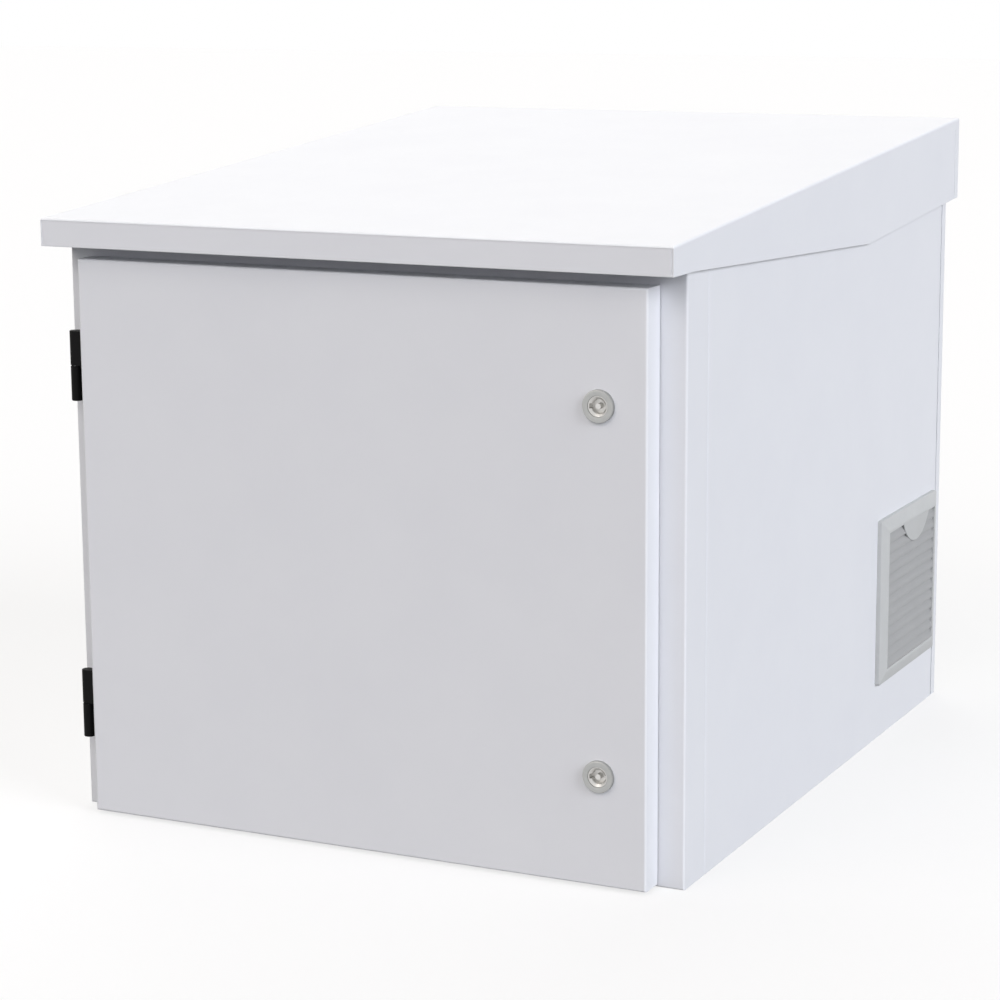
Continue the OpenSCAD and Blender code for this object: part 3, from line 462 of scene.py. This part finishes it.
mat = {"cornerRadius": 5, "step": 5, "sideRoom": 1, "faceRoom": 1.4, "crown": 0.8,
       "roughness": 0.5, "tufts": 4, "tuftShift": (7, 3, 1), "faceShift": 9,
       "shares": (0.06, 0.201, 0.342, 0.483, 0.624, 0.765, 0.906), "edge": ((0.985, -0.93), (1, -0.7))}
for side in ("left", "right"):
    low, high, centre = boxOf(side + "_filter_mat")
    half, thick = (high.y - low.y) / 2 - mat["sideRoom"], (high.x - low.x) / 2 - mat["faceRoom"]
    rows = [(share, -1) for share in mat["shares"]] + list(mat["edge"])  # share of the outline, height
    rows = rows + [(1, 0)] + [(share, -height) for share, height in reversed(rows)]
    points = []
    for share, height in rows:
        for py, pz, ny, nz in roundedLoop(half, half, mat["cornerRadius"], mat["step"]):
            spot = Vector((height * mat["faceShift"], py * share, pz * share))
            fuzz = noise.noise(spot / mat["tufts"] + Vector(mat["tuftShift"])) * mat["roughness"]
            swell = mat["crown"] * (1 - share * share)
            points.append(Vector((centre.x + height * (thick + swell) + (fuzz if abs(height) > 0.5 else 0),
                                  centre.y + spot.y + ny * fuzz * share,
                                  centre.z + spot.z + nz * fuzz * share)))
    pad = newPiece(side + "FilterMat", [(points, skin(len(rows), len(points) // len(rows), False))],
                   side + "_filter_mat", sharp=70)
print("filter mats made")


# louvred covers: a moulded shell with bevelled sides, hooded blades and a plain crest

cover = {"thick": 8, "windowWide": 147, "windowTall": 139, "rimThick": 0.5, "rimLow": 3.5, "wall": 2,
         "outside": ((0, 2.5, 0), (0, 2.5, 4), (0.15, 2.4, 4.35), (0.6, 2.3, 4.67), (11, 1.6, 7.7),
                     (11.7, 1.5, 7.92), (12.4, 1.5, 8)),  # inset, corner radius, height
         "windowEdge": ((0.4, 8), (0.1, 7.88), (0, 7.6)),  # wider than the window, height
         "inside": ((3, 2.5), (2, 1.5), (2, 0)), "insideLand": 13.9,  # inset, height
         "innerRadius": 1}
blade = {"count": 13, "front": 7.2, "thick": 1.4, "face": 6, "back": 4.2, "sink": 0.4,
         "outerBend": ((-0.95, -0.3), (-1.45, 0.35)),  # from the front, from the top of the face
         "innerBend": ((-2.75, -0.56), (-2.4, -1.26))}
crest = {"wide": 82.3, "sag": 23, "shift": 13, "steps": 16, "tuck": 0.4, "taper": 50,
         "edge": ((0, 0.3), (0, 1.3), (0.12, 1.58), (0.4, 1.7))}  # shrink, height above the wall's back


def squareRing(halfWide, halfTall, radius, rise):  # ring of a rounded rectangle at one height
    ring = []
    for cx, cy, start in corners:
        for g in (radians(start + 15 * i) for i in range(7)):
            ring.append(Vector((cx * (halfWide - radius) + radius * cos(g),
                                cy * (halfTall - radius) + radius * sin(g), rise)))
    return ring


def bladeForm(base, pitch, long):  # one hooded blade along x, its free edge rounded
    front, nose, top = blade["front"], blade["thick"] / 2, base + blade["face"]
    outline = [(front - nose + nose * cos(radians(a)), base + nose + nose * sin(radians(a)))
               for a in range(180, 361, 30)]
    outline += [(front + x, top + z) for x, z in blade["outerBend"]]
    outline += [(blade["back"], base + pitch), (blade["back"], base + pitch - blade["thick"])]
    outline += [(front + x, top + z) for x, z in blade["innerBend"]]
    points = [Vector((x, h, rise)) for x in (-long / 2, long / 2) for rise, h in outline]
    return points, skin(2, len(outline), False)


low, high, centre = boxOf("right_louvre_cover")
halfWide, halfTall = (high.y - low.y) / 2, (high.z - low.z) / 2
windowX, windowZ = cover["windowWide"] / 2, cover["windowTall"] / 2
inner, rim, radius = cover["thick"] - cover["wall"], cover["rimThick"], cover["innerRadius"]
window = cover["windowEdge"] + ((0, cover["rimLow"]), (rim, cover["rimLow"]), (rim, inner))
inside = ((cover["insideLand"], inner),) + cover["inside"]
rings = [squareRing(halfWide - inset, halfTall - inset, bend, rise)
         for inset, bend, rise in cover["outside"]]
rings += [squareRing(windowX + grow, windowZ + grow, radius + grow, rise) for grow, rise in window]
rings += [squareRing(halfWide - inset, halfTall - inset, radius, rise) for inset, rise in inside]
shell = [p for ring in rings for p in ring], skin(len(rings), len(rings[0]), True)

pitch = cover["windowTall"] / blade["count"]
blades = [bladeForm(i * pitch - windowZ - blade["sink"], pitch, cover["windowWide"] + rim)
          for i in range(blade["count"])]

sag, half = crest["sag"], crest["wide"] / 2
crestRadius = (half * half + sag * sag) / (2 * sag)
reach = asin(half / crestRadius)
turns = [reach * i / crest["steps"] for i in range(-crest["steps"], crest["steps"] + 1)]
arc = [(crestRadius * sin(g), windowZ - sag + crestRadius * (1 - cos(g))) for g in turns]
points = []
for shrink, rise in crest["edge"]:
    ring = [(x * (1 - shrink / crest["taper"]), z + shrink) for x, z in arc]
    ring += [(x, windowZ + crest["tuck"]) for x in (half, -half)]
    points += [Vector((x + crest["shift"], z, inner + rise)) for x, z in ring]
tongue = points, skin(len(crest["edge"]), len(arc) + 2, False)

for side, way in (("left", -1), ("right", 1)):
    low, high, centre = boxOf(side + "_louvre_cover")
    foot = (low.x if way > 0 else high.x, centre.y, centre.z)
    forms = [([Vector((p.x * way, p.y, p.z)) for p in form[0]], form[1])
             for form in [shell, tongue] + blades]  # the left one is a mirror image
    newPiece(side + "LouvreCover", [placed(form, foot, (way, 0, 0), (0, way, 0)) for form in forms],
             side + "_louvre_cover", sharp=38, dark=range(2, len(forms)))  # the blades get painted shade
print("louvred covers made")


# cable grommets: moulded rings with a closed skin, snapped into the gland plate

grommet = {"xs": (-108, -36, 36, 108), "lipThick": 2.5, "steps": 56,  # then radius and height of each ring
           "skinBelow": ((1.44, 0.068), (6, 0.03), (11.04, -0.012), (12, -0.6), (12.2, -2.3)),
           "lowerLip": ((12.6, -2.5), (19.2, -2.5), (19.8, -2.2), (20, -1.6), (19.9, -0.2), (19.6, 0)),
           "groove": ((16, 0), (16, 2)),
           "upperLip": ((19.7, 2), (19.85, 2.25), (16.6, 4.2), (16, 4.5), (12.7, 4.5), (12.15, 4.3)),
           "skinAbove": ((12, 3.8), (12, 1.5), (11.4, 1.06), (9.6, 1), (6, 1), (3.36, 1.18), (1.44, 1.22))}
low, high, centre = boxOf("cable_grommets")
rings = [ring for key in ("skinBelow", "lowerLip", "groove", "upperLip", "skinAbove")
         for ring in grommet[key]]
seal, seat = turned(rings, grommet["steps"]), low.z + grommet["lipThick"]
newPiece("cableGrommets", [placed(seal, (x, centre.y, seat)) for x in grommet["xs"]],
         "cable_grommets", sharp=40)
print("cable grommets made")


# camera at the photograph's viewing angle

shot = {"lens": 101.681, "sensor": 36.0, "yaw": 25.9613, "pitch": 11.3571, "roll": -0.3837,
        "place": (1.16023, -2.46292, 0.79718), "near": 0.05, "far": 100.0}
yaw, pitch, roll = (radians(shot[k]) for k in ("yaw", "pitch", "roll"))
ahead = Vector((-sin(yaw) * cos(pitch), cos(yaw) * cos(pitch), -sin(pitch)))
level = Vector((cos(yaw), sin(yaw), 0))
upright = level.cross(ahead)
across = level * cos(roll) + upright * sin(roll)
above = upright * cos(roll) - level * sin(roll)
camera = bpy.data.objects.new("camera", bpy.data.cameras.new("camera"))
camera.data.sensor_width, camera.data.lens = shot["sensor"], shot["lens"]
camera.data.clip_start, camera.data.clip_end = shot["near"], shot["far"]
turn = Matrix((across, above, -ahead)).transposed().to_4x4()
camera.matrix_world = Matrix.Translation(shot["place"]) @ turn
scene.collection.objects.link(camera)
scene.camera = camera
print("camera set")


# studio: soft suns, a faint even sky and a white floor that keeps the shadow
# what the floor throws back on the cabinet is one even glow, the bounce

studio = {"sky": 0.04, "skyTint": "#FFFFFF", "floorColor": "#F4F4F5", "floorGlow": 0.7, "floorSize": 30.0,
          "bounce": 0.22, "bounceTint": "#FFFFFF", "white": "#FFFFFF"}
suns = {  # degrees, side 0 = front and 90 = right; level 1 makes white paint that faces the lamp white
    "topBackSun": {"level": 0.275, "height": 60, "side": 230, "width": 50, "tint": "#FFFCF2"},
    "rightSun": {"level": 0.773, "height": 25, "side": 80, "width": 40, "tint": "#F8FAFF"},
    "cornerSun": {"level": 0.186, "height": 5, "side": 45, "width": 40, "tint": "#F6F3FF"},
    "frontSun": {"level": 0.37, "height": 30, "side": 0, "width": 40, "tint": "#FFFDFD"},
    "leftSun": {"level": 0.237, "height": 45, "side": -40, "width": 40, "tint": "#FFF3E9"},
    "backFill": {"level": 0.45, "height": 18, "side": 205, "width": 50, "tint": "#FFFFFF"}}
glossFrom = 40  # suns lower than this would glare in the roof, seen from the far side

for name, sun in suns.items():
    lamp = bpy.data.lights.new(name, "SUN")
    lamp.energy, lamp.angle = sun["level"] * pi, radians(sun["width"])
    lamp.color = linear(sun["tint"])[:3]
    height, side = radians(sun["height"]), radians(sun["side"])
    toward = Vector((sin(side) * cos(height), -cos(side) * cos(height), sin(height)))
    lampObject = bpy.data.objects.new(name, lamp)
    lampObject.rotation_euler = toward.to_track_quat("Z", "Y").to_euler()
    lampObject.visible_glossy = sun["height"] >= glossFrom
    scene.collection.objects.link(lampObject)


def seenDirectly(tree):  # 1 for camera, glossy and transmission rays
    rays = put(tree, "ShaderNodeLightPath").outputs
    either = put(tree, "ShaderNodeMath", {}, {0: rays["Is Camera Ray"], 1: rays["Is Glossy Ray"]},
                 operation="MAXIMUM")
    return put(tree, "ShaderNodeMath", {}, {0: either.outputs[0], 1: rays["Is Transmission Ray"]},
               operation="MAXIMUM").outputs[0]


world = bpy.data.worlds.new("studio")
scene.world = world
world.use_nodes = True
sky = world.node_tree
sky.nodes.clear()
soft = put(sky, "ShaderNodeBackground", {"Color": linear(studio["skyTint"]), "Strength": studio["sky"]})
white = put(sky, "ShaderNodeBackground", {"Color": linear(studio["white"]), "Strength": 1.0})
mixed = put(sky, "ShaderNodeMixShader", {}, {0: seenDirectly(sky), 1: soft.outputs[0], 2: white.outputs[0]})
put(sky, "ShaderNodeOutputWorld", {}, {"Surface": mixed.outputs[0]})

floorMaterial = bpy.data.materials.new("white studio floor")
floorMaterial.use_nodes = True
ground = floorMaterial.node_tree
ground.nodes.clear()
matt = put(ground, "ShaderNodeBsdfDiffuse", {"Color": linear(studio["floorColor"])})
bounce = put(ground, "ShaderNodeEmission",
             {"Color": linear(studio["bounceTint"]), "Strength": studio["bounce"]})
glow = put(ground, "ShaderNodeEmission", {"Color": linear(studio["white"]), "Strength": 1.0})
seen = put(ground, "ShaderNodeMixShader", {0: studio["floorGlow"]},
           {1: matt.outputs[0], 2: glow.outputs[0]})
either = put(ground, "ShaderNodeMixShader", {},
             {0: seenDirectly(ground), 1: bounce.outputs[0], 2: seen.outputs[0]})
put(ground, "ShaderNodeOutputMaterial", {}, {"Surface": either.outputs[0]})

half = studio["floorSize"] / 2
floorMesh = bpy.data.meshes.new("floor")
floorMesh.from_pydata([(-half, -half, 0), (half, -half, 0), (half, half, 0), (-half, half, 0)], [],
                      [(0, 1, 2, 3)])
floorMesh.materials.append(floorMaterial)
floor = bpy.data.objects.new("floor", floorMesh)
scene.collection.objects.link(floor)
scene.view_settings.view_transform = "Standard"
print("studio ready")
